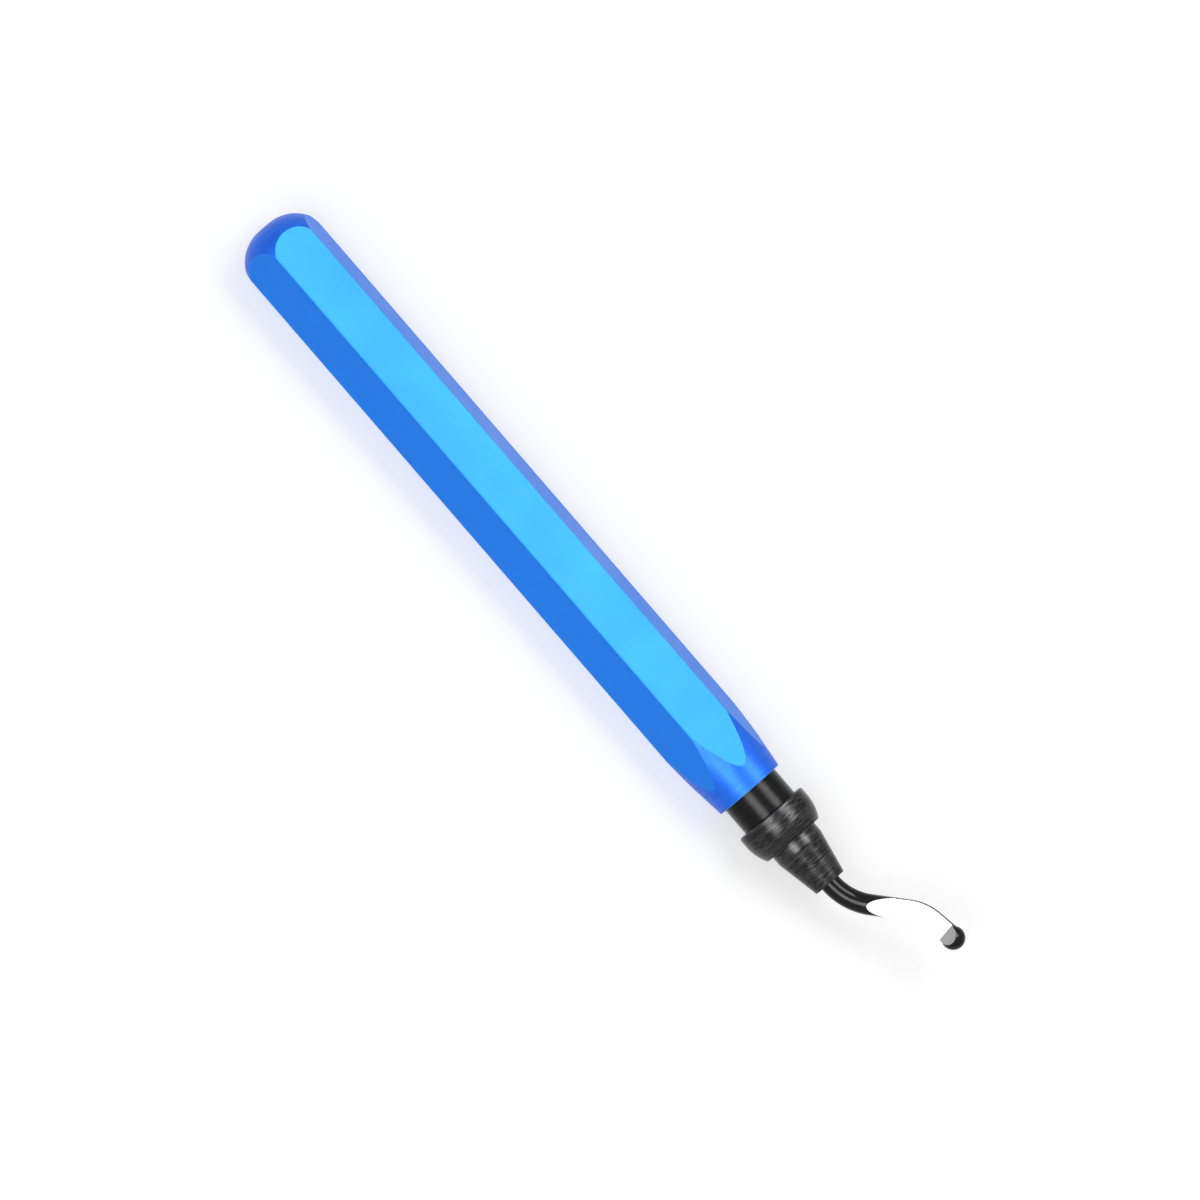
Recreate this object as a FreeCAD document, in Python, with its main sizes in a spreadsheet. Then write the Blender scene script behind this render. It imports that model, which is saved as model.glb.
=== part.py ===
"""Deburring tool: hexagonal handle, quick-release head and swivelling hooked blade.

Every piece is modelled on its own X axis, which is the tool's long axis, with x = 0 at the
handle's front face and +X towards the blade. A Placement then lays the tool down: the handle
rests on one of its flats, and the row's origin is the middle of that flat.
"""
import FreeCAD, Part
import math
import os
import Sketcher

# Driving dimensions in millimetres and degrees: alias, value.
SIZES = [
    # handle
    ("handle_length", 109.6),
    ("across_flats", 12.0),
    ("edge_round", 0.2),
    ("nose_face_radius", 5.6),
    ("nose_taper_angle", 6.6),
    ("tail_dome_radius", 6.0),
    ("tail_face_radius", 1.0),
    ("spring_bore_depth", 19.0),
    ("holder_bore_depth", 29.0),
    ("bore_mouth_chamfer", 0.2),
    # blade
    ("shank_diameter", 3.2),
    ("shank_clearance", 0.05),
    ("shank_end_chamfer", 0.4),
    ("tail_to_groove", 12.0),
    ("groove_to_bend", 14.6),
    ("groove_floor_diameter", 2.25),
    ("groove_arc_radius", 2.5),
    ("first_bend_radius", 9.4),
    ("bend_angle", 42.4),
    ("slope_length", 5.9),
    ("second_bend_radius", 6.7),
    ("tip_angle", 8.8),
    ("tip_length", 3.8),
    ("tip_ball_diameter", 3.65),
    ("facet_height", 0.5),
    ("facet_entry_angle", 18.0),
    ("facet_entry_place", 3.05),
    ("facet_exit_angle", 35.0),
    ("facet_exit_place", 2.4),
    ("blade_roll", 31.7),
    # locking balls and sleeve ramp
    ("ball_diameter", 2.0),
    ("ball_gap", 0.03),
    ("ball_hole_clearance", 0.04),
    ("groove_station", 3.55),
    ("release_margin", 0.025),
    ("sleeve_travel", 4.0),
    ("running_clearance", 0.04),
    # blade holder and its retaining ring
    ("ball_hole_web", 0.2),
    ("holder_nose_diameter", 5.0),
    ("holder_nose_length", 1.4),
    ("ring_thickness", 0.6),
    ("ring_outer_diameter", 5.9),
    ("ring_groove_depth", 0.35),
    ("ring_gap", 0.9),
    ("ring_free_gap", 0.1),
    ("travel_gap", 0.05),
    # sleeve and collar
    ("sleeve_diameter", 9.5),
    ("sleeve_reach", 7.0),
    ("spigot_diameter", 8.8),
    ("flange_stop_gap", 0.6),
    ("lip_thickness", 0.7),
    ("sleeve_chamfer", 0.2),
    ("flange_diameter", 11.9),
    ("flange_face_wall", 0.26),
    ("flange_band", 1.6),
    ("flange_front_diameter", 9.9),
    ("flange_edge_round", 0.2),
    ("barrel_diameter", 8.0),
    ("cone_start_setback", 2.79),
    ("cone_tip_diameter", 5.3),
    ("cone_tip_wall", 2.51),
    ("cone_bore_clearance", 0.12),
    # return spring
    ("spring_wire_diameter", 0.8),
    ("spring_coils", 7.0),
    ("spring_seat_gap", 0.02),
]

# Sizes that follow from the driving ones, written once as expressions.
AXIS_HEIGHT = "sizes.across_flats / 2"
CORNER_RADIUS = "sizes.across_flats / sqrt(3)"
SHANK_RADIUS = "sizes.shank_diameter / 2"
GROOVE_FLOOR = "sizes.groove_floor_diameter / 2"
BALL_RADIUS = "sizes.ball_diameter / 2"
BALL_STATION_RADIUS = f"({GROOVE_FLOOR} + sizes.ball_gap + {BALL_RADIUS})"
BALL_LIFT = f"({SHANK_RADIUS} - {GROOVE_FLOOR} + sizes.release_margin)"
LAND_RADIUS = f"({BALL_STATION_RADIUS} + {BALL_RADIUS} + sizes.ball_gap)"
RECESS_RADIUS = f"({LAND_RADIUS} + {BALL_LIFT})"
HOLDER_RADIUS = f"({LAND_RADIUS} - sizes.running_clearance)"
HOLDER_NOSE_RADIUS = "sizes.holder_nose_diameter / 2"
BLADE_BORE_RADIUS = f"({SHANK_RADIUS} + sizes.shank_clearance)"
SHANK_TAIL = "(sizes.groove_station - sizes.tail_to_groove)"
BLADE_BORE_FLOOR = f"({SHANK_TAIL} - sizes.shank_clearance)"
BODY_FRONT = (
    f"(sizes.groove_station + {BALL_RADIUS} + sizes.ball_hole_clearance + sizes.ball_hole_web)"
)
LIP_REAR = f"({BODY_FRONT} + sizes.sleeve_travel + sizes.travel_gap)"
LIP_FRONT = f"({LIP_REAR} + sizes.lip_thickness)"
RING_FRONT = f"({LIP_FRONT} + sizes.ring_thickness)"
NOSE_FRONT = f"({RING_FRONT} + sizes.holder_nose_length)"
RING_SEAT_RADIUS = f"({HOLDER_NOSE_RADIUS} - sizes.ring_groove_depth)"
RING_OUTER_RADIUS = "sizes.ring_outer_diameter / 2"
SLEEVE_RADIUS = "sizes.sleeve_diameter / 2"
SLEEVE_BORE_RADIUS = f"({SLEEVE_RADIUS} + sizes.running_clearance)"
SPIGOT_RADIUS = "sizes.spigot_diameter / 2"
FLANGE_REAR = "(sizes.sleeve_travel + sizes.flange_stop_gap)"
FLANGE_FRONT = f"({LIP_FRONT} + sizes.flange_face_wall)"
RING_CAVITY_FRONT = f"({RING_FRONT} + sizes.sleeve_travel + sizes.travel_gap)"
NOSE_CAVITY_FRONT = f"({NOSE_FRONT} + sizes.sleeve_travel + sizes.travel_gap)"
BARREL_FRONT = f"({RING_CAVITY_FRONT} - sizes.cone_start_setback)"
CONE_TIP = f"({NOSE_CAVITY_FRONT} + sizes.cone_tip_wall)"
BARREL_RADIUS = "sizes.barrel_diameter / 2"
CONE_BORE_RADIUS = f"({SHANK_RADIUS} + sizes.cone_bore_clearance)"
BEND_START = "(sizes.groove_station + sizes.groove_to_bend)"
BEND = "(sizes.bend_angle * 1 deg)"
TIP = "(sizes.tip_angle * 1 deg)"
SLOPE_START_X = f"({BEND_START} + sizes.first_bend_radius * sin({BEND}))"
SLOPE_START_Y = f"(sizes.first_bend_radius * (1 - cos({BEND})))"
TIP_START_X = (
    f"({SLOPE_START_X} + sizes.slope_length * cos({BEND})"
    f" + sizes.second_bend_radius * (sin({BEND}) - sin({TIP})))"
)
TIP_START_Y = (
    f"({SLOPE_START_Y} + sizes.slope_length * sin({BEND})"
    f" + sizes.second_bend_radius * (cos({TIP}) - cos({BEND})))"
)

BALL_ANGLES = [90, 210, 330]
OUTSIDE = 3.0  # how far a cutting profile runs past the stock

doc = FreeCAD.newDocument("deburring_tool")
parts = []


def make_sheet():
    sheet = doc.addObject("Spreadsheet::Sheet", "sizes")
    for row, (alias, value) in enumerate(SIZES, start=1):
        sheet.set(f"A{row}", alias)
        sheet.set(f"B{row}", str(value))
        sheet.setAlias(f"B{row}", alias)
    doc.recompute()
    return sheet


def value_of(expression):
    """The number that an expression over the sheet gives now."""
    result = sheet.evalExpression(expression)
    return float(getattr(result, "Value", result))


def add_part(obj, label, roll="0"):
    """Name a piece and lay it on the tool's axis, turned by roll degrees about that axis."""
    obj.Label = label
    obj.Placement = FreeCAD.Placement(
        FreeCAD.Vector(0, 0, 0), FreeCAD.Rotation(FreeCAD.Vector(1, 0, 0), value_of(roll) or 1)
    )
    obj.setExpression("Placement.Base.x", "sizes.handle_length / 2")
    obj.setExpression("Placement.Base.z", AXIS_HEIGHT)
    obj.setExpression("Placement.Rotation.Angle", roll)
    parts.append(obj)


def new_body(label):
    body = doc.addObject("PartDesign::Body", label)
    return body


def plane_of(body, role):
    return next(item for item in body.Origin.OriginFeatures if item.Role == role)


def new_sketch(body, name, role="XY_Plane"):
    sketch = body.newObject("Sketcher::SketchObject", name)
    sketch.AttachmentSupport = [(plane_of(body, role), "")]
    sketch.MapMode = "FlatFace"
    return sketch


def pin_point(sketch, geo, pos, across, up):
    """Hold a point of a sketch at two expressions, measured from the sketch's origin."""
    for kind, axis, expression in (("DistanceX", -2, across), ("DistanceY", -1, up)):
        if expression == "0":
            sketch.addConstraint(Sketcher.Constraint("PointOnObject", geo, pos, axis))
            continue
        number = value_of(expression)
        index = sketch.addConstraint(Sketcher.Constraint(kind, -1, 1, geo, pos, number))
        sketch.setExpression(f"Constraints[{index}]", expression)


def shoulder_arc(start, end):
    """Arc that leaves start along +X, bulges outwards and comes down to end."""
    drop = start.y - end.y
    radius = ((end.x - start.x) ** 2 + drop ** 2) / (2 * drop)
    centre = FreeCAD.Vector(start.x, start.y - radius, 0)
    circle = Part.Circle(centre, FreeCAD.Vector(0, 0, 1), radius)
    first = math.atan2(end.y - centre.y, end.x - centre.x)
    return Part.ArcOfCircle(circle, first, math.pi / 2)


def outline(sketch, corners, shoulder=None):
    """Draw a closed polygon through corners given as pairs of expressions.

    The side that starts at corner number shoulder is an arc, tangent to the side before it.
    """
    points = [FreeCAD.Vector(value_of(a), value_of(b), 0) for a, b in corners]
    count = len(points)
    ends = [(1, 2)] * count
    for index, start in enumerate(points):
        end = points[(index + 1) % count]
        side = Part.LineSegment(start, end)
        if index == shoulder:
            side = shoulder_arc(start, end)
            ends[index] = (2, 1)
        sketch.addGeometry(side, False)
    for index, (across, up) in enumerate(corners):
        before = (index - 1) % count
        joint = ("Tangent" if index == shoulder else "Coincident")
        sketch.addConstraint(
            Sketcher.Constraint(joint, before, ends[before][1], index, ends[index][0])
        )
        pin_point(sketch, index, ends[index][0], across, up)


def turned(body, kind, name, sketch):
    """Revolve a sketch once round the tool's axis, as added or removed material."""
    feature = body.newObject(f"PartDesign::{kind}", name)
    feature.Profile = sketch
    feature.ReferenceAxis = (sketch, ["H_Axis"])
    feature.Angle = 360
    doc.recompute()
    return feature


def turn(body, name, corners, shoulder=None):
    """Add the solid of revolution of an outline of (x, radius) corners."""
    sketch = new_sketch(body, f"{name}_outline")
    outline(sketch, corners, shoulder)
    return turned(body, "Revolution", name, sketch)


def bore(body, name, corners):
    """Remove the solid of revolution of a polygon of (x, radius) corners."""
    sketch = new_sketch(body, f"{name}_outline")
    outline(sketch, corners)
    return turned(body, "Groove", name, sketch)


def make_hex_bar(body):
    sketch = new_sketch(body, "hex_section", "YZ_Plane")
    radius = value_of(CORNER_RADIUS)
    corners = [
        FreeCAD.Vector(radius * math.cos(math.radians(60 * k)),
                       radius * math.sin(math.radians(60 * k)), 0)
        for k in range(6)
    ]
    for k in range(6):
        sketch.addGeometry(Part.LineSegment(corners[k], corners[(k + 1) % 6]), False)
    circle = sketch.addGeometry(
        Part.Circle(FreeCAD.Vector(0, 0, 0), FreeCAD.Vector(0, 0, 1), radius), True
    )
    sketch.addConstraint(Sketcher.Constraint("Coincident", circle, 3, -1, 1))
    for k in range(6):
        sketch.addConstraint(Sketcher.Constraint("Coincident", k, 2, (k + 1) % 6, 1))
        sketch.addConstraint(Sketcher.Constraint("PointOnObject", k, 1, circle))
    for k in range(1, 6):
        sketch.addConstraint(Sketcher.Constraint("Equal", 0, k))
    sketch.addConstraint(Sketcher.Constraint("PointOnObject", 0, 1, -1))
    index = sketch.addConstraint(Sketcher.Constraint("Radius", circle, radius))
    sketch.setExpression(f"Constraints[{index}]", CORNER_RADIUS)
    bar = body.newObject("PartDesign::Pad", "hex_bar")
    bar.Profile = sketch
    bar.Reversed = True
    bar.setExpression("Length", "sizes.handle_length")
    doc.recompute()
    return bar


def round_long_edges(body, bar):
    length = value_of("sizes.handle_length")
    names = [
        f"Edge{number}"
        for number, edge in enumerate(bar.Shape.Edges, start=1)
        if abs(edge.Length - length) < 0.001
    ]
    rounding = body.newObject("PartDesign::Fillet", "edge_rounding")
    rounding.Base = (bar, names)
    rounding.setExpression("Radius", "sizes.edge_round")
    doc.recompute()


def cut_nose_cone(body):
    """Turn the front end to a cone that runs out past the corners."""
    beyond = f"({CORNER_RADIUS} + {OUTSIDE})"
    run = f"(({beyond} - sizes.nose_face_radius) / tan(sizes.nose_taper_angle * 1 deg))"
    bore(body, "nose_cone", [
        ("0", "sizes.nose_face_radius"),
        (f"-{run}", beyond),
        (f"{OUTSIDE}", beyond),
        (f"{OUTSIDE}", "sizes.nose_face_radius"),
    ])


def cut_tail_dome(body):
    """Turn the tail to a quarter-round with a small flat in the middle."""
    tail = "(-sizes.handle_length)"
    dome_front = f"({tail} + sizes.tail_dome_radius)"
    dome_rim = "(sizes.tail_face_radius + sizes.tail_dome_radius)"
    beyond = f"({dome_rim} + {OUTSIDE})"
    behind = f"({tail} - {OUTSIDE})"
    corners = [
        (dome_front, dome_rim),
        (dome_front, beyond),
        (behind, beyond),
        (behind, "sizes.tail_face_radius"),
        (tail, "sizes.tail_face_radius"),
    ]
    sketch = new_sketch(body, "tail_dome_outline")
    points = [FreeCAD.Vector(value_of(a), value_of(b), 0) for a, b in corners]
    for start, end in zip(points, points[1:]):
        sketch.addGeometry(Part.LineSegment(start, end), False)
    centre = FreeCAD.Vector(points[0].x, points[4].y, 0)
    radius = value_of("sizes.tail_dome_radius")
    circle = Part.Circle(centre, FreeCAD.Vector(0, 0, 1), radius)
    arc = sketch.addGeometry(Part.ArcOfCircle(circle, math.pi / 2, math.pi), False)
    for index, (across, up) in enumerate(corners[:4]):
        pin_point(sketch, index, 1, across, up)
        if index:
            sketch.addConstraint(Sketcher.Constraint("Coincident", index - 1, 2, index, 1))
    pin_point(sketch, 3, 2, *corners[4])
    sketch.addConstraint(Sketcher.Constraint("Coincident", arc, 1, 0, 1))
    sketch.addConstraint(Sketcher.Constraint("Coincident", arc, 2, 3, 2))
    sketch.addConstraint(Sketcher.Constraint("Vertical", arc, 3, arc, 1))
    turned(body, "Groove", "tail_dome", sketch)


def make_handle():
    body = new_body("handle")
    bar = make_hex_bar(body)
    round_long_edges(body, bar)
    cut_nose_cone(body)
    cut_tail_dome(body)
    mouth = f"({SLEEVE_BORE_RADIUS} + sizes.bore_mouth_chamfer)"
    bore(body, "stepped_bore", [
        (f"{OUTSIDE}", "0"),
        (f"{OUTSIDE}", mouth),
        ("0", mouth),
        ("(-sizes.bore_mouth_chamfer)", SLEEVE_BORE_RADIUS),
        ("(-sizes.spring_bore_depth)", SLEEVE_BORE_RADIUS),
        ("(-sizes.spring_bore_depth)", HOLDER_RADIUS),
        ("(-sizes.holder_bore_depth)", HOLDER_RADIUS),
        ("(-sizes.holder_bore_depth)", "0"),
    ])
    add_part(body, "handle")


def make_blade_holder():
    """Turned tube, pressed into the handle, with three ball holes and a ring groove."""
    body = new_body("blade_holder")
    turn(body, "holder", [
        ("(-sizes.holder_bore_depth)", "0"),
        ("(-sizes.holder_bore_depth)", HOLDER_RADIUS),
        (BODY_FRONT, HOLDER_RADIUS),
        (BODY_FRONT, HOLDER_NOSE_RADIUS),
        (LIP_FRONT, HOLDER_NOSE_RADIUS),
        (LIP_FRONT, RING_SEAT_RADIUS),
        (RING_FRONT, RING_SEAT_RADIUS),
        (RING_FRONT, HOLDER_NOSE_RADIUS),
        (NOSE_FRONT, HOLDER_NOSE_RADIUS),
        (NOSE_FRONT, BLADE_BORE_RADIUS),
        (BLADE_BORE_FLOOR, BLADE_BORE_RADIUS),
        (BLADE_BORE_FLOOR, "0"),
    ])
    sketch = new_sketch(body, "ball_hole_centre")
    hole_radius = f"({BALL_RADIUS} + sizes.ball_hole_clearance)"
    centre = FreeCAD.Vector(value_of("sizes.groove_station"), 0, 0)
    sketch.addGeometry(
        Part.Circle(centre, FreeCAD.Vector(0, 0, 1), value_of(hole_radius)), False
    )
    pin_point(sketch, 0, 3, "sizes.groove_station", "0")
    index = sketch.addConstraint(Sketcher.Constraint("Radius", 0, value_of(hole_radius)))
    sketch.setExpression(f"Constraints[{index}]", hole_radius)
    hole = body.newObject("PartDesign::Pocket", "ball_hole")
    hole.Profile = sketch
    hole.Reversed = True
    hole.setExpression("Length", f"{HOLDER_RADIUS} + {OUTSIDE}")
    doc.recompute()
    pattern = body.newObject("PartDesign::PolarPattern", "ball_holes")
    pattern.Originals = [hole]
    pattern.Axis = (sketch, ["H_Axis"])
    pattern.Angle = 360
    pattern.Occurrences = len(BALL_ANGLES)
    body.Tip = pattern
    doc.recompute()
    add_part(body, "blade_holder")


def make_retaining_ring():
    """Split ring that sits in the holder's groove, in front of the sleeve's lip."""
    body = new_body("retaining_ring")
    turn(body, "ring", [
        (LIP_FRONT, RING_SEAT_RADIUS),
        (LIP_FRONT, RING_OUTER_RADIUS),
        (RING_FRONT, RING_OUTER_RADIUS),
        (RING_FRONT, RING_SEAT_RADIUS),
    ])
    sketch = new_sketch(body, "split_outline")
    outline(sketch, [
        (f"({LIP_FRONT} - {OUTSIDE})", "(-sizes.ring_gap / 2)"),
        (f"({RING_FRONT} + {OUTSIDE})", "(-sizes.ring_gap / 2)"),
        (f"({RING_FRONT} + {OUTSIDE})", "(sizes.ring_gap / 2)"),
        (f"({LIP_FRONT} - {OUTSIDE})", "(sizes.ring_gap / 2)"),
    ])
    split = body.newObject("PartDesign::Pocket", "split")
    split.Profile = sketch
    split.Reversed = False
    split.setExpression("Length", f"{RING_OUTER_RADIUS} + {OUTSIDE}")
    doc.recompute()
    add_part(body, "retaining_ring")


def make_neck_sleeve():
    """Black tube that runs in the handle's bore and locks the balls with its inner land."""
    body = new_body("neck_sleeve")
    rear = "(-sizes.sleeve_reach)"
    lip_radius = f"({HOLDER_NOSE_RADIUS} + sizes.running_clearance)"
    ramp_end = "(sizes.groove_station + sizes.sleeve_travel)"
    turn(body, "sleeve", [
        (f"({rear} + sizes.sleeve_chamfer)", SLEEVE_RADIUS),
        (FLANGE_REAR, SLEEVE_RADIUS),
        (FLANGE_REAR, SPIGOT_RADIUS),
        (LIP_FRONT, SPIGOT_RADIUS),
        (LIP_FRONT, lip_radius),
        (LIP_REAR, lip_radius),
        (LIP_REAR, RECESS_RADIUS),
        (ramp_end, RECESS_RADIUS),
        ("sizes.groove_station", LAND_RADIUS),
        (rear, LAND_RADIUS),
        (rear, f"({SLEEVE_RADIUS} - sizes.sleeve_chamfer)"),
    ])
    add_part(body, "neck_sleeve")


def make_nose_collar():
    """Thumb flange, short barrel and cone in one turned piece, pressed on the sleeve."""
    body = new_body("nose_collar")
    flange_radius = "sizes.flange_diameter / 2"
    cavity_radius = f"({RING_OUTER_RADIUS} + sizes.ring_free_gap)"
    guide_radius = f"({HOLDER_NOSE_RADIUS} + sizes.running_clearance)"
    turn(body, "collar", [
        (FLANGE_REAR, SPIGOT_RADIUS),
        (FLANGE_REAR, f"({flange_radius} - sizes.flange_edge_round)"),
        (f"({FLANGE_REAR} + sizes.flange_edge_round)", flange_radius),
        (f"({FLANGE_REAR} + sizes.flange_band)", flange_radius),
        (FLANGE_FRONT, "sizes.flange_front_diameter / 2"),
        (FLANGE_FRONT, BARREL_RADIUS),
        (BARREL_FRONT, BARREL_RADIUS),
        (CONE_TIP, "sizes.cone_tip_diameter / 2"),
        (CONE_TIP, CONE_BORE_RADIUS),
        (NOSE_CAVITY_FRONT, CONE_BORE_RADIUS),
        (NOSE_CAVITY_FRONT, guide_radius),
        (RING_CAVITY_FRONT, guide_radius),
        (RING_CAVITY_FRONT, cavity_radius),
        (LIP_FRONT, cavity_radius),
        (LIP_FRONT, SPIGOT_RADIUS),
    ], shoulder=3)
    add_part(body, "nose_collar")


def make_lock_ball(number, angle):
    ball = doc.addObject("Part::Sphere", f"lock_ball_{number}")
    ball.setExpression("Radius", BALL_RADIUS)
    ball.Label = f"lock_ball_{number}"
    ball.setExpression("Placement.Base.x", "sizes.handle_length / 2 + sizes.groove_station")
    ball.setExpression("Placement.Base.y", f"{BALL_STATION_RADIUS} * cos({angle} deg)")
    ball.setExpression(
        "Placement.Base.z", f"{AXIS_HEIGHT} + {BALL_STATION_RADIUS} * sin({angle} deg)"
    )
    parts.append(ball)


def make_return_spring():
    """Compression spring between the bore's step and the sleeve's rear end."""
    body = new_body("return_spring")
    wire_radius = "(sizes.spring_wire_diameter / 2)"
    seat = f"(-sizes.spring_bore_depth + {wire_radius} + sizes.spring_seat_gap)"
    length = (
        f"sizes.spring_bore_depth - sizes.sleeve_reach - sizes.spring_wire_diameter"
        f" - 2 * sizes.spring_seat_gap"
    )
    coil_radius = f"(({SLEEVE_BORE_RADIUS} + {HOLDER_RADIUS}) / 2)"
    sketch = new_sketch(body, "wire_section")
    centre = FreeCAD.Vector(value_of(seat), value_of(coil_radius), 0)
    sketch.addGeometry(
        Part.Circle(centre, FreeCAD.Vector(0, 0, 1), value_of(wire_radius)), False
    )
    pin_point(sketch, 0, 3, seat, coil_radius)
    index = sketch.addConstraint(Sketcher.Constraint("Radius", 0, value_of(wire_radius)))
    sketch.setExpression(f"Constraints[{index}]", wire_radius)
    coil = body.newObject("PartDesign::AdditiveHelix", "coil")
    coil.Profile = sketch
    coil.ReferenceAxis = (sketch, ["H_Axis"])
    coil.Mode = "height-turns-angle"
    coil.setExpression("Height", length)
    coil.setExpression("Turns", "sizes.spring_coils")
    doc.recompute()
    add_part(body, "return_spring")


def blade_path(body):
    """Straight shank, bend away, slope, bend back and tip, as tangent lines and arcs."""
    sketch = new_sketch(body, "blade_path")
    bend = math.radians(value_of("sizes.bend_angle"))
    tip = math.radians(value_of("sizes.tip_angle"))
    first = value_of("sizes.first_bend_radius")
    second = value_of("sizes.second_bend_radius")
    slope = value_of("sizes.slope_length")
    straight = value_of("sizes.tip_length")
    start = FreeCAD.Vector(value_of(SHANK_TAIL), 0, 0)
    bend_start = FreeCAD.Vector(value_of(BEND_START), 0, 0)
    first_centre = bend_start + FreeCAD.Vector(0, first, 0)
    first_end = first_centre + first * FreeCAD.Vector(math.sin(bend), -math.cos(bend), 0)
    slope_end = first_end + slope * FreeCAD.Vector(math.cos(bend), math.sin(bend), 0)
    second_centre = slope_end + second * FreeCAD.Vector(math.sin(bend), -math.cos(bend), 0)
    second_end = second_centre + second * FreeCAD.Vector(-math.sin(tip), math.cos(tip), 0)
    tip_end = second_end + straight * FreeCAD.Vector(math.cos(tip), math.sin(tip), 0)
    up = FreeCAD.Vector(0, 0, 1)
    quarter = math.pi / 2
    first_circle = Part.Circle(first_centre, up, first)
    second_circle = Part.Circle(second_centre, up, second)
    shank = sketch.addGeometry(Part.LineSegment(start, bend_start), False)
    out = sketch.addGeometry(Part.ArcOfCircle(first_circle, -quarter, bend - quarter), False)
    ramp = sketch.addGeometry(Part.LineSegment(first_end, slope_end), False)
    back = sketch.addGeometry(Part.ArcOfCircle(second_circle, quarter + tip, quarter + bend), False)
    end = sketch.addGeometry(Part.LineSegment(second_end, tip_end), False)
    pin_point(sketch, shank, 1, SHANK_TAIL, "0")
    pin_point(sketch, shank, 2, BEND_START, "0")
    sketch.addConstraint(Sketcher.Constraint("Tangent", shank, 2, out, 1))
    sketch.addConstraint(Sketcher.Constraint("Tangent", out, 2, ramp, 1))
    sketch.addConstraint(Sketcher.Constraint("Tangent", ramp, 2, back, 2))
    sketch.addConstraint(Sketcher.Constraint("Tangent", back, 1, end, 1))
    driven = [
        (Sketcher.Constraint("Radius", out, first), "sizes.first_bend_radius"),
        (Sketcher.Constraint("Radius", back, second), "sizes.second_bend_radius"),
        (Sketcher.Constraint("Distance", ramp, slope), "sizes.slope_length"),
        (Sketcher.Constraint("Distance", end, straight), "sizes.tip_length"),
        (Sketcher.Constraint("Angle", -1, 1, ramp, 1, bend), "sizes.bend_angle * 1 deg"),
        (Sketcher.Constraint("Angle", -1, 1, end, 1, tip), "sizes.tip_angle * 1 deg"),
    ]
    for constraint, expression in driven:
        index = sketch.addConstraint(constraint)
        sketch.setExpression(f"Constraints[{index}]", expression)
    doc.recompute()
    return sketch


def grind(body, name, across, up, turn_angle, corners):
    """Cut a prism across the rod: corners are (along the rod, height) from a point of the path.

    The cutting plane stands on the path at (across, up), turned by turn_angle from +X.
    """
    sketch = new_sketch(body, f"{name}_outline", "XZ_Plane")
    sketch.AttachmentOffset = FreeCAD.Placement(
        FreeCAD.Vector(0, 0, 0), FreeCAD.Rotation(FreeCAD.Vector(0, 1, 0), 1)
    )
    sketch.setExpression("AttachmentOffset.Base.x", across)
    sketch.setExpression("AttachmentOffset.Base.z", f"-{up}")
    sketch.setExpression("AttachmentOffset.Rotation.Angle", turn_angle)
    outline(sketch, corners)
    cut = body.newObject("PartDesign::Pocket", name)
    cut.Profile = sketch
    cut.Midplane = True
    cut.setExpression("Length", "4 * sizes.shank_diameter")
    doc.recompute()


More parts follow.
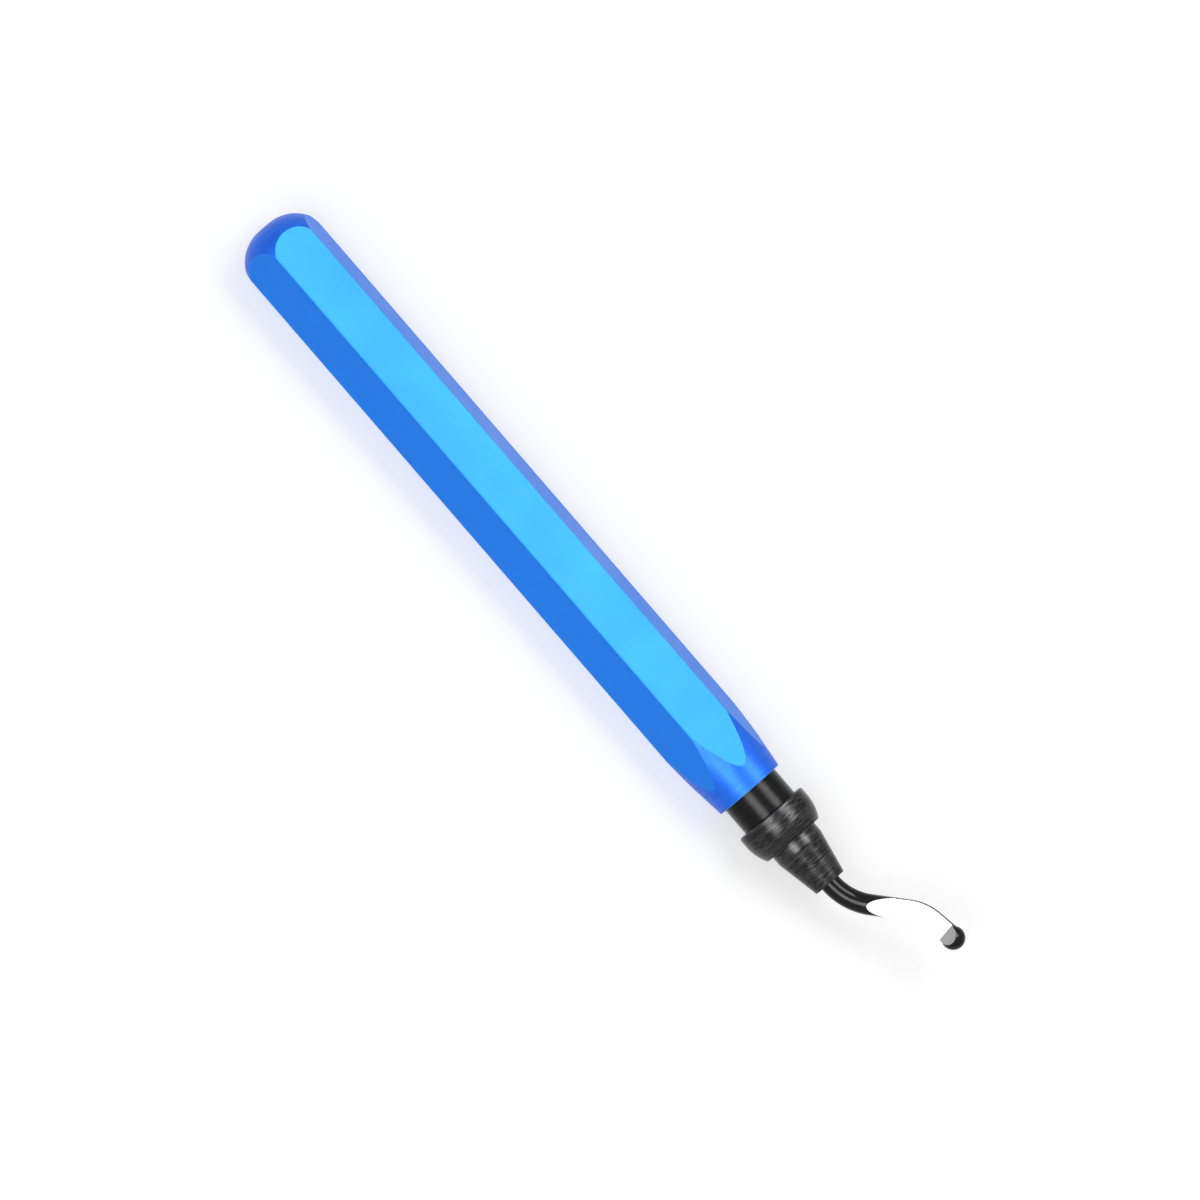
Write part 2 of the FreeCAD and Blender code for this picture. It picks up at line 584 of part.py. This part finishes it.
def make_blade():
    """Rod with a retention groove, a double bend, a ball end and a ground facet."""
    body = new_body("blade")
    path = blade_path(body)
    section = new_sketch(body, "blade_section", "YZ_Plane")
    section.setExpression("AttachmentOffset.Base.z", SHANK_TAIL)
    section.addGeometry(
        Part.Circle(FreeCAD.Vector(0, 0, 0), FreeCAD.Vector(0, 0, 1), value_of(SHANK_RADIUS)),
        False,
    )
    section.addConstraint(Sketcher.Constraint("Coincident", 0, 3, -1, 1))
    index = section.addConstraint(Sketcher.Constraint("Radius", 0, value_of(SHANK_RADIUS)))
    section.setExpression(f"Constraints[{index}]", SHANK_RADIUS)
    rod = body.newObject("PartDesign::AdditivePipe", "rod")
    rod.Profile = section
    rod.Spine = (path, [f"Edge{number}" for number in range(1, 6)])
    doc.recompute()

    end_radius = f"({SHANK_RADIUS} - sizes.shank_end_chamfer)"
    bore(body, "shank_end", [
        (SHANK_TAIL, end_radius),
        (f"({SHANK_TAIL} + sizes.shank_end_chamfer)", SHANK_RADIUS),
        (f"({SHANK_TAIL} + sizes.shank_end_chamfer)", f"({SHANK_RADIUS} + {OUTSIDE})"),
        (f"({SHANK_TAIL} - {OUTSIDE})", f"({SHANK_RADIUS} + {OUTSIDE})"),
        (f"({SHANK_TAIL} - {OUTSIDE})", end_radius),
    ])

    groove = new_sketch(body, "retention_groove_outline")
    arc_centre = f"({GROOVE_FLOOR} + sizes.groove_arc_radius)"
    centre = FreeCAD.Vector(value_of("sizes.groove_station"), value_of(arc_centre), 0)
    arc_radius = value_of("sizes.groove_arc_radius")
    groove.addGeometry(Part.Circle(centre, FreeCAD.Vector(0, 0, 1), arc_radius), False)
    pin_point(groove, 0, 3, "sizes.groove_station", arc_centre)
    index = groove.addConstraint(Sketcher.Constraint("Radius", 0, arc_radius))
    groove.setExpression(f"Constraints[{index}]", "sizes.groove_arc_radius")
    turned(body, "Groove", "retention_groove", groove)

    ball = body.newObject("PartDesign::AdditiveSphere", "tip_ball")
    ball.AttachmentSupport = [(plane_of(body, "XY_Plane"), "")]
    ball.MapMode = "FlatFace"
    ball.setExpression("Radius", "sizes.tip_ball_diameter / 2")
    ball.setExpression(
        "AttachmentOffset.Base.x", f"{TIP_START_X} + sizes.tip_length * cos({TIP})"
    )
    ball.setExpression(
        "AttachmentOffset.Base.y", f"{TIP_START_Y} + sizes.tip_length * sin({TIP})"
    )
    doc.recompute()

    entry_x = f"({SLOPE_START_X} + sizes.facet_entry_place * cos({BEND}))"
    entry_y = f"({SLOPE_START_Y} + sizes.facet_entry_place * sin({BEND}))"
    exit_x = f"({TIP_START_X} + sizes.facet_exit_place * cos({TIP}))"
    exit_y = f"({TIP_START_Y} + sizes.facet_exit_place * sin({TIP}))"
    reach = "(2 * sizes.shank_diameter)"
    facet = new_sketch(body, "facet_outline")
    facet.setExpression("AttachmentOffset.Base.z", "sizes.facet_height")
    outline(facet, [
        (f"({entry_x} - {reach} * sin({BEND}))", f"({entry_y} + {reach} * cos({BEND}))"),
        (f"({entry_x} + {reach} * sin({BEND}))", f"({entry_y} - {reach} * cos({BEND}))"),
        (f"({exit_x} + {reach} * sin({TIP}))", f"({exit_y} - {reach} * cos({TIP}))"),
        (f"({exit_x} - {reach} * sin({TIP}))", f"({exit_y} + {reach} * cos({TIP}))"),
    ])
    flat = body.newObject("PartDesign::Pocket", "facet")
    flat.Profile = facet
    flat.Reversed = True
    flat.setExpression("Length", "sizes.tip_ball_diameter")
    doc.recompute()
    rise = "(sizes.tip_ball_diameter / 2)"
    top = f"(sizes.facet_height + {rise})"
    entry_run = f"({rise} / tan(sizes.facet_entry_angle * 1 deg))"
    exit_run = f"({rise} / tan(sizes.facet_exit_angle * 1 deg))"
    grind(body, "facet_entry", entry_x, entry_y, BEND, [
        ("0", "sizes.facet_height"),
        ("0", top),
        (f"(-{entry_run})", top),
    ])
    grind(body, "facet_exit", exit_x, exit_y, TIP, [
        ("0", "sizes.facet_height"),
        (exit_run, top),
        ("0", top),
    ])
    add_part(body, "blade", "sizes.blade_roll")


def check_document():
    for obj in doc.Objects:
        if "Invalid" in obj.State or "Error" in obj.State:
            raise RuntimeError(f"{obj.Label} failed: {obj.State}")
    for obj in parts:
        if obj.Shape.isNull() or not obj.Shape.isValid():
            raise RuntimeError(f"{obj.Label} has no valid shape")


def export_parts():
    os.makedirs("parts", exist_ok=True)
    for obj in parts:
        obj.Shape.exportStep(os.path.join("parts", f"{obj.Label}.step"))
        box = obj.Shape.optimalBoundingBox(False, False)
        print(f"{obj.Label}: {len(obj.Shape.Solids)} solid, {obj.Shape.Volume:.2f} mm3, "
              f"x {box.XMin:.2f}..{box.XMax:.2f}, y {box.YMin:.2f}..{box.YMax:.2f}, "
              f"z {box.ZMin:.2f}..{box.ZMax:.2f}")


sheet = make_sheet()
make_handle()
make_blade_holder()
make_retaining_ring()
make_neck_sleeve()
make_nose_collar()
for ball_number, ball_angle in enumerate(BALL_ANGLES, start=1):
    make_lock_ball(ball_number, ball_angle)
make_return_spring()
make_blade()
doc.recompute()
check_document()
export_parts()
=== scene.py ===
"""Deburring tool: studio scene with procedural anodised, turned and ground finishes."""
import math

import bpy
from mathutils import Matrix, Vector


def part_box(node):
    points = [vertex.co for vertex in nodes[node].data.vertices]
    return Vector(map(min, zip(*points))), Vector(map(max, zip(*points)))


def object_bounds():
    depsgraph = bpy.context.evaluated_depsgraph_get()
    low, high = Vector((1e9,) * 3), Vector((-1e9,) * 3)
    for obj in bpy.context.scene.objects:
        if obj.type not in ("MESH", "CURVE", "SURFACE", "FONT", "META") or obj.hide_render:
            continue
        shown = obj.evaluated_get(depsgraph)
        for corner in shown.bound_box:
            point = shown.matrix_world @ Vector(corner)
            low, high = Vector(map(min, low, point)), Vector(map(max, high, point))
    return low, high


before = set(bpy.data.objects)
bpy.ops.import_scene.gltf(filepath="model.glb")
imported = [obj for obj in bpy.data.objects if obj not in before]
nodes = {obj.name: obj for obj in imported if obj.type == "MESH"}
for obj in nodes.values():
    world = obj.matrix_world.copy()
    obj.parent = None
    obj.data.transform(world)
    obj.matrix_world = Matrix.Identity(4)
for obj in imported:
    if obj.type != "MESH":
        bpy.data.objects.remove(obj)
cad_low, cad_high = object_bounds()

# The view: the camera looks down on the handle's upper flat, tipped towards -Y and rolled.
VIEW_TILT = math.radians(16.7)
VIEW_ROLL = math.radians(-49.17)
VIEW_WIDTH = 0.177
LENS = 400.0
SENSOR = 36.0
CLIP_START = 0.01
CLIP_END = 20.0
AIM_BEHIND_HANDLE_FRONT = 0.0356
AIM_BESIDE_AXIS = 0.00156

# The finishes: rounding of sharp edges and depth of grain in metres, grain scales per metre.
HANDLE_EDGE = 0.0002
HEAD_EDGE = 0.00015
EDGE_STARTS = 0.993
EDGE_FULL = 0.95
COARSE_GRAIN_DEPTH = 0.000003
FINE_GRAIN_DEPTH = 0.000001
GROUND_GRAIN_DEPTH = 0.000004
GRAIN_LOW = 0.3
GRAIN_HIGH = 0.7
DRAWN_ALONG, DRAWN_ACROSS = 90.0, 7000.0
RINGS_ALONG, RINGS_ACROSS = 9000.0, 260.0
CLOUD_SCALE = 90.0
TURNED_STARTS, TURNED_FULL = 0.02, 0.05
FINE_RINGS_ALONG, FINE_RINGS_ACROSS = 7000.0, 150.0
COARSE_RINGS_ALONG, COARSE_RINGS_ACROSS = 9000.0, 700.0
BANDS_ALONG, BANDS_ACROSS = 2400.0, 60.0
RING_SHARE, BAND_SHARE = 0.65, 0.35
STEEL_ALONG, STEEL_ACROSS = 5000.0, 900.0
STROKES_ALONG, STROKES_ACROSS = 5200.0, 420.0
BLACKING_SCALE = 900.0

# The blade's ground flats: how near their plane a point lies, and how squarely it faces.
FACET_REACH = 0.00003
FACET_FACING = 0.985
RUN_OUT_LEAST = 0.05
RUN_OUT_MOST = 0.9

# The studio.
FLOOR_SIZE = 30.0
FLOOR_TONE = 0.65
FLOOR_GLOW = 0.5
WORLD_LIGHT = 0.4
WORLD_SEEN = 1.0
KEY_ANGLE = 44
FILL_ANGLE = -19
LAMP_LENGTH = 0.5
BOX_DISTANCE = 0.6
GLOSS_DISTANCE = 0.59
STRIP_DISTANCE = 0.58
STRIP_WIDTH = 0.015
STRIP_POWER = 0.4

handle_low, handle_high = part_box("handle")
AXIS_HEIGHT = (handle_low.z + handle_high.z) / 2

along = Vector((1, 0, 0))
across = Vector((0, math.cos(VIEW_TILT), math.sin(VIEW_TILT)))
towards_camera = along.cross(across)


class Nodes:
    """Short way to build the node tree of a material or a world."""

    def __init__(self, owner):
        owner.use_nodes = True
        self.tree = owner.node_tree

    def add(self, kind, **settings):
        node = self.tree.nodes.new(kind)
        for key, value in settings.items():
            setattr(node, key, value)
        return node

    def link(self, source, target):
        self.tree.links.new(source, target)

    def feed(self, socket, value):
        if isinstance(value, bpy.types.NodeSocket):
            self.link(value, socket)
        else:
            socket.default_value = value

    def math(self, operation, first, second=0.0):
        node = self.add("ShaderNodeMath", operation=operation)
        self.feed(node.inputs[0], first)
        self.feed(node.inputs[1], second)
        return node.outputs[0]

    def dot(self, first, second):
        node = self.add("ShaderNodeVectorMath", operation="DOT_PRODUCT")
        self.feed(node.inputs[0], first)
        self.feed(node.inputs[1], second)
        return node.outputs["Value"]

    def place(self):
        return self.add("ShaderNodeTexCoord").outputs["Object"]

    def normal(self):
        return self.add("ShaderNodeTexCoord").outputs["Normal"]

    def split(self, vector):
        node = self.add("ShaderNodeSeparateXYZ")
        self.feed(node.inputs[0], vector)
        return node.outputs

    def join(self, x, y, z):
        node = self.add("ShaderNodeCombineXYZ")
        for socket, value in zip(node.inputs, (x, y, z)):
            self.feed(socket, value)
        return node.outputs[0]

    def noise(self, vector, scale=1.0, detail=3.0):
        node = self.add("ShaderNodeTexNoise")
        self.feed(node.inputs["Vector"], vector)
        node.inputs["Scale"].default_value = scale
        node.inputs["Detail"].default_value = detail
        return node.outputs["Fac"]

    def stretched(self, along_scale, across_scale, detail=3.0):
        """Noise with one scale along the tool's axis and another across it."""
        x, y, z = self.split(self.place())
        place = self.join(
            self.math("MULTIPLY", x, along_scale),
            self.math("MULTIPLY", y, across_scale),
            self.math("MULTIPLY", z, across_scale),
        )
        return self.noise(place, detail=detail)

    def ramp(self, value, low, high, first=0.0, last=1.0):
        node = self.add("ShaderNodeMapRange", clamp=True)
        for socket, number in zip(node.inputs, (value, low, high, first, last)):
            self.feed(socket, number)
        return node.outputs[0]

    def grain(self, noise):
        return self.ramp(noise, GRAIN_LOW, GRAIN_HIGH)

    def mix(self, factor, first, second):
        """Mix of two colours."""
        node = self.add("ShaderNodeMix", data_type="RGBA")
        self.feed(node.inputs["Factor"], factor)
        self.feed(node.inputs[6], first)
        self.feed(node.inputs[7], second)
        return node.outputs[2]

    def blend(self, factor, first, second):
        """Mix of two numbers."""
        node = self.add("ShaderNodeMix", data_type="FLOAT")
        self.feed(node.inputs[0], factor)
        self.feed(node.inputs[2], first)
        self.feed(node.inputs[3], second)
        return node.outputs[0]

    def seen_directly(self):
        """One for rays that come from the camera or from a mirrored or see-through surface."""
        paths = self.add("ShaderNodeLightPath").outputs
        seen = self.math("MAXIMUM", paths["Is Camera Ray"], paths["Is Glossy Ray"])
        return self.math("MAXIMUM", seen, paths["Is Transmission Ray"])


class Finish(Nodes):
    """A new material, with what only a surface needs."""

    def __init__(self, name):
        self.material = bpy.data.materials.new(name)
        super().__init__(self.material)
        self.tree.nodes.clear()
        self.output = self.add("ShaderNodeOutputMaterial")

    def bump(self, height, distance, strength, normal=None):
        node = self.add("ShaderNodeBump")
        node.inputs["Strength"].default_value = strength
        node.inputs["Distance"].default_value = distance
        self.feed(node.inputs["Height"], height)
        if normal is not None:
            self.link(normal, node.inputs["Normal"])
        return node.outputs[0]

    def rounded_edges(self, radius):
        node = self.add("ShaderNodeBevel", samples=6)
        node.inputs["Radius"].default_value = radius
        return node.outputs[0]

    def edge_mask(self, rounded):
        """One on the sharp edges, where the rounded normal leaves the face's own normal."""
        own = self.add("ShaderNodeNewGeometry").outputs["True Normal"]
        return self.ramp(self.dot(rounded, own), EDGE_STARTS, EDGE_FULL)

    def on_plane(self, normal, offset):
        """One on the flat that lies in the plane with this normal and offset."""
        height = self.dot(self.place(), tuple(normal))
        gap = self.math("ABSOLUTE", self.math("SUBTRACT", height, offset))
        near = self.math("LESS_THAN", gap, FACET_REACH)
        facing = self.dot(self.normal(), tuple(normal))
        return self.math("MULTIPLY", near, self.math("GREATER_THAN", facing, FACET_FACING))

    def surface(self, **inputs):
        shader = self.add("ShaderNodeBsdfPrincipled")
        for name, value in inputs.items():
            self.feed(shader.inputs[name.replace("_", " ")], value)
        self.link(shader.outputs[0], self.output.inputs["Surface"])


def colour(red, green, blue):
    return (red, green, blue, 1.0)


def grey(level):
    return colour(level, level, level)


def anodised_blue():
    """Satin anodised aluminium: drawn along the flats, turned on the cone and the dome."""
    m = Finish("blue_anodised")
    slope = m.math("ABSOLUTE", m.split(m.normal())[0])
    turned = m.ramp(slope, TURNED_STARTS, TURNED_FULL)
    drawn = m.stretched(DRAWN_ALONG, DRAWN_ACROSS)
    rings = m.stretched(RINGS_ALONG, RINGS_ACROSS)
    grain = m.grain(m.blend(turned, drawn, rings))
    cloud = m.noise(m.place(), CLOUD_SCALE)
    flat_colour = m.mix(grain, colour(0.0, 0.182, 0.78), colour(0.0, 0.208, 0.86))
    turned_colour = m.mix(grain, colour(0.0, 0.088, 0.66), colour(0.0, 0.165, 0.86))
    # Painted highlight: a lighter blue is painted along the sharp edges, where the rounded edges
    # would catch the lamps.
    painted_edge_highlight = colour(0.03, 0.42, 0.93)
    rounded = m.rounded_edges(HANDLE_EDGE)
    surface_colour = m.mix(turned, flat_colour, turned_colour)
    m.surface(
        Base_Color=m.mix(m.edge_mask(rounded), surface_colour, painted_edge_highlight),
        Metallic=0.5,
        Roughness=m.ramp(cloud, 0.25, 0.75, 0.36, 0.46),
        Normal=m.bump(grain, COARSE_GRAIN_DEPTH, 0.7, rounded),
    )
    return m.material


def black_oxide_smooth():
    """Black sleeve with a fine turned finish."""
    m = Finish("black_oxide_smooth")
    rings = m.grain(m.stretched(FINE_RINGS_ALONG, FINE_RINGS_ACROSS))
    m.surface(
        Base_Color=m.mix(rings, grey(0.010), grey(0.019)),
        Metallic=1.0,
        Roughness=m.blend(rings, 0.2, 0.27),
        Normal=m.bump(rings, FINE_GRAIN_DEPTH, 0.5, m.rounded_edges(HEAD_EDGE)),
    )
    return m.material


def black_oxide_turned():
    """Black collar with a coarse turned grain that catches the light."""
    m = Finish("black_oxide_turned")
    rings = m.stretched(COARSE_RINGS_ALONG, COARSE_RINGS_ACROSS, detail=4.0)
    bands = m.stretched(BANDS_ALONG, BANDS_ACROSS)
    both = m.math("ADD", m.math("MULTIPLY", rings, RING_SHARE), m.math("MULTIPLY", bands, BAND_SHARE))
    grain = m.ramp(both, 0.4, 0.64)
    m.surface(
        Base_Color=m.mix(grain, grey(0.012), grey(0.062)),
        Metallic=1.0,
        Roughness=m.blend(grain, 0.22, 0.34),
        Normal=m.bump(grain, COARSE_GRAIN_DEPTH, 0.6, m.rounded_edges(HEAD_EDGE)),
    )
    return m.material


def facet_planes():
    """Planes of the blade's ground flats, from its mesh: the main one, then the two run-outs."""
    areas = {}
    for face in nodes["blade"].data.polygons:
        offset = face.normal.dot(face.center)
        key = tuple(round(part, 2) for part in face.normal) + (round(offset, 5),)
        area, normal, _ = areas.get(key, (0.0, face.normal.copy(), offset))
        areas[key] = (area + face.area, normal, offset)
    patches = sorted(areas.values(), key=lambda patch: patch[0], reverse=True)
    main = patches[0]
    entry = next(patch for patch in patches if RUN_OUT_LEAST < patch[1].x < RUN_OUT_MOST)
    leaving = next(patch for patch in patches if -RUN_OUT_MOST < patch[1].x < -RUN_OUT_LEAST)
    return main[1:], entry[1:], leaving[1:]


def blade_steel():
    """Glossy black rod with bright ground flats."""
    m = Finish("blade_steel")
    main, entry, leaving = facet_planes()
    main_normal = main[0]
    run = entry[0] - leaving[0]
    run = (run - main_normal * run.dot(main_normal)).normalized()
    side = main_normal.cross(run)
    strokes = m.join(
        m.math("MULTIPLY", m.dot(m.place(), tuple(run)), STROKES_ALONG),
        m.math("MULTIPLY", m.dot(m.place(), tuple(side)), STROKES_ACROSS),
        0.0,
    )
    grain = m.grain(m.noise(strokes, detail=4.0))
    on_main = m.on_plane(*main)
    on_entry = m.on_plane(*entry)
    on_leaving = m.on_plane(*leaving)
    ground = m.math("MAXIMUM", m.math("MAXIMUM", on_main, on_entry), on_leaving)
    blacking = m.noise(m.place(), BLACKING_SCALE, detail=2.0)
    tone = m.mix(blacking, grey(0.014), grey(0.022))
    # The ground flats are bare steel, truly lighter than the blacked rod; their three different greys
    # are painted light and shade: the run-in flat painted near white, the main flat light grey and
    # the run-out flat a darker grey, as each flat would catch the lamps.
    tone = m.mix(on_main, tone, m.mix(grain, grey(0.60), grey(0.72)))
    tone = m.mix(on_entry, tone, m.mix(grain, grey(0.82), grey(0.90)))
    tone = m.mix(on_leaving, tone, m.mix(grain, grey(0.34), grey(0.44)))
    m.surface(
        Base_Color=tone,
        Metallic=m.blend(ground, 1.0, 0.6),
        Roughness=m.blend(ground, 0.09, m.blend(grain, 0.3, 0.4)),
        Normal=m.bump(m.math("MULTIPLY", grain, ground), GROUND_GRAIN_DEPTH, 0.6),
    )
    return m.material


def bright_steel():
    """Plain steel of the pieces inside the head."""
    m = Finish("bright_steel")
    grain = m.grain(m.stretched(STEEL_ALONG, STEEL_ACROSS))
    m.surface(
        Base_Color=m.mix(grain, grey(0.52), grey(0.64)),
        Metallic=1.0,
        Roughness=m.blend(grain, 0.24, 0.36),
        Normal=m.bump(grain, FINE_GRAIN_DEPTH, 0.4),
    )
    return m.material


FINISHES = {
    "handle": anodised_blue,
    "neck_sleeve": black_oxide_smooth,
    "nose_collar": black_oxide_turned,
    "blade": blade_steel,
}


def dress(node, material):
    mesh = nodes[node].data
    mesh.materials.clear()
    mesh.materials.append(material)


def dress_all():
    plain_steel = bright_steel()
    for name in nodes:
        dress(name, FINISHES[name]() if name in FINISHES else plain_steel)


def make_floor():
    bpy.ops.mesh.primitive_plane_add(size=FLOOR_SIZE, location=(0, 0, 0))
    floor = bpy.context.object
    floor.name = "floor"
    m = Finish("floor_white")
    diffuse = m.add("ShaderNodeBsdfDiffuse")
    diffuse.inputs["Color"].default_value = grey(FLOOR_TONE)
    glow = m.add("ShaderNodeEmission")
    m.link(m.math("MULTIPLY", m.seen_directly(), FLOOR_GLOW), glow.inputs["Strength"])
    total = m.add("ShaderNodeAddShader")
    m.link(diffuse.outputs[0], total.inputs[0])
    m.link(glow.outputs[0], total.inputs[1])
    m.link(total.outputs[0], m.output.inputs["Surface"])
    floor.data.materials.append(m.material)


def make_world():
    """Pale world that is white where it is seen and dimmer as a light."""
    world = bpy.data.worlds.new("studio")
    bpy.context.scene.world = world
    w = Nodes(world)
    background = w.tree.nodes["Background"]
    background.inputs["Color"].default_value = grey(1.0)
    w.link(w.blend(w.seen_directly(), WORLD_LIGHT, WORLD_SEEN), background.inputs["Strength"])


def aim(direction, distance):
    """Where a lamp stands, and the turn that makes it face the tool's middle, long side along it."""
    direction = direction.normalized()
    up = direction.cross(along)
    turn = Matrix((along, up, direction)).transposed().to_4x4()
    middle = Vector(((cad_low.x + cad_high.x) / 2, 0, AXIS_HEIGHT))
    return Matrix.Translation(middle + direction * distance) @ turn


def make_lamp(name, angle, distance, width, power, gloss_only=False):
    """Soft box that stands angle degrees from the view direction, round the tool's axis."""
    turn = math.radians(angle)
    light = bpy.data.lights.new(name, "AREA")
    light.shape = "RECTANGLE"
    light.size = LAMP_LENGTH
    light.size_y = width
    light.energy = power
    lamp = bpy.data.objects.new(name, light)
    direction = math.cos(turn) * towards_camera + math.sin(turn) * across
    lamp.matrix_world = aim(direction, distance)
    lamp.visible_camera = False
    if gloss_only:
        lamp.visible_diffuse = False
    bpy.context.scene.collection.objects.link(lamp)


def make_lamps():
    """Two soft boxes, each with a brighter one and a thin strip that only gloss shows."""
    make_lamp("key", KEY_ANGLE, BOX_DISTANCE, 0.32, 1.1)
    make_lamp("fill", FILL_ANGLE, BOX_DISTANCE, 0.34, 1.15)
    make_lamp("key_gloss", KEY_ANGLE, GLOSS_DISTANCE, 0.28, 1.8, gloss_only=True)
    make_lamp("fill_gloss", FILL_ANGLE, GLOSS_DISTANCE, 0.3, 1.9, gloss_only=True)
    make_lamp("key_strip", KEY_ANGLE, STRIP_DISTANCE, STRIP_WIDTH, STRIP_POWER, gloss_only=True)
    make_lamp("fill_strip", FILL_ANGLE, STRIP_DISTANCE, STRIP_WIDTH, STRIP_POWER, gloss_only=True)


def make_camera():
    right = math.cos(VIEW_ROLL) * along - math.sin(VIEW_ROLL) * across
    up = math.sin(VIEW_ROLL) * along + math.cos(VIEW_ROLL) * across
    turn = Matrix((right, up, towards_camera)).transposed().to_4x4()
    target = Vector((handle_high.x - AIM_BEHIND_HANDLE_FRONT, 0, AXIS_HEIGHT))
    target = target + across * AIM_BESIDE_AXIS
    distance = VIEW_WIDTH * LENS / SENSOR
    data = bpy.data.cameras.new("camera")
    data.lens = LENS
    data.sensor_width = SENSOR
    data.clip_start = CLIP_START
    data.clip_end = CLIP_END
    camera = bpy.data.objects.new("camera", data)
    camera.matrix_world = Matrix.Translation(target + towards_camera * distance) @ turn
    bpy.context.scene.collection.objects.link(camera)
    bpy.context.scene.camera = camera


dress_all()
make_floor()
make_world()
make_lamps()
make_camera()
bpy.context.scene.view_settings.view_transform = "Standard"
